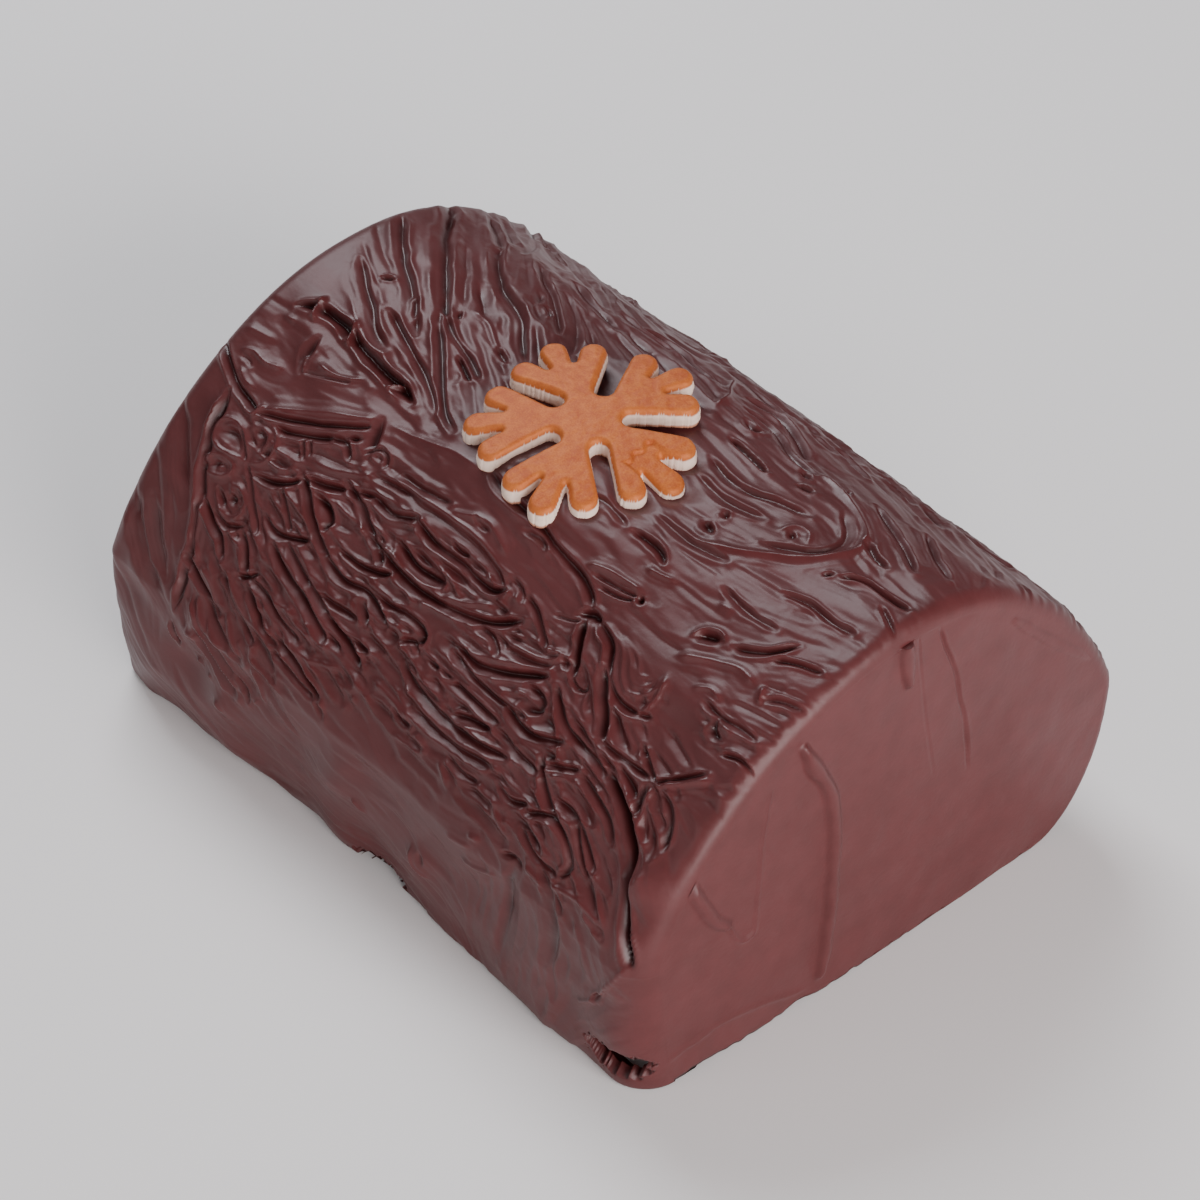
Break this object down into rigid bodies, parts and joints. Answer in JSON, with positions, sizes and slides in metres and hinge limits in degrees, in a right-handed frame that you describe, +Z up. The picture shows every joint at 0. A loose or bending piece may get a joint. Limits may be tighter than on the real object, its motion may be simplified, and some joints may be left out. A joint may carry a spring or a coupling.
{
  "type": "yule log cake",
  "caption": "Chocolate-coated yule log cake with a fork-worked barrel, smooth ends and a gilded fondant snowflake resting on top",
  "frame": {"origin": "centre of the footprint of the cake, at the level of its base", "axes": "+X along the log to its smooth front end, -Y the broad worked flank, +Z up"},
  "size_m": [0.1744, 0.1414, 0.0945],
  "materials": {
    "chocolate": "dark chocolate coat, satin with glossy worked ridges",
    "sponge": "matt open chocolate crumb",
    "gilded_fondant": "white fondant brushed with copper-gold lustre dust"
  },
  "bodies": {
    "root": {"coating": "chocolate", "sponge": "sponge", "snowflake": "gilded_fondant"}
  },
  "joints": []
}
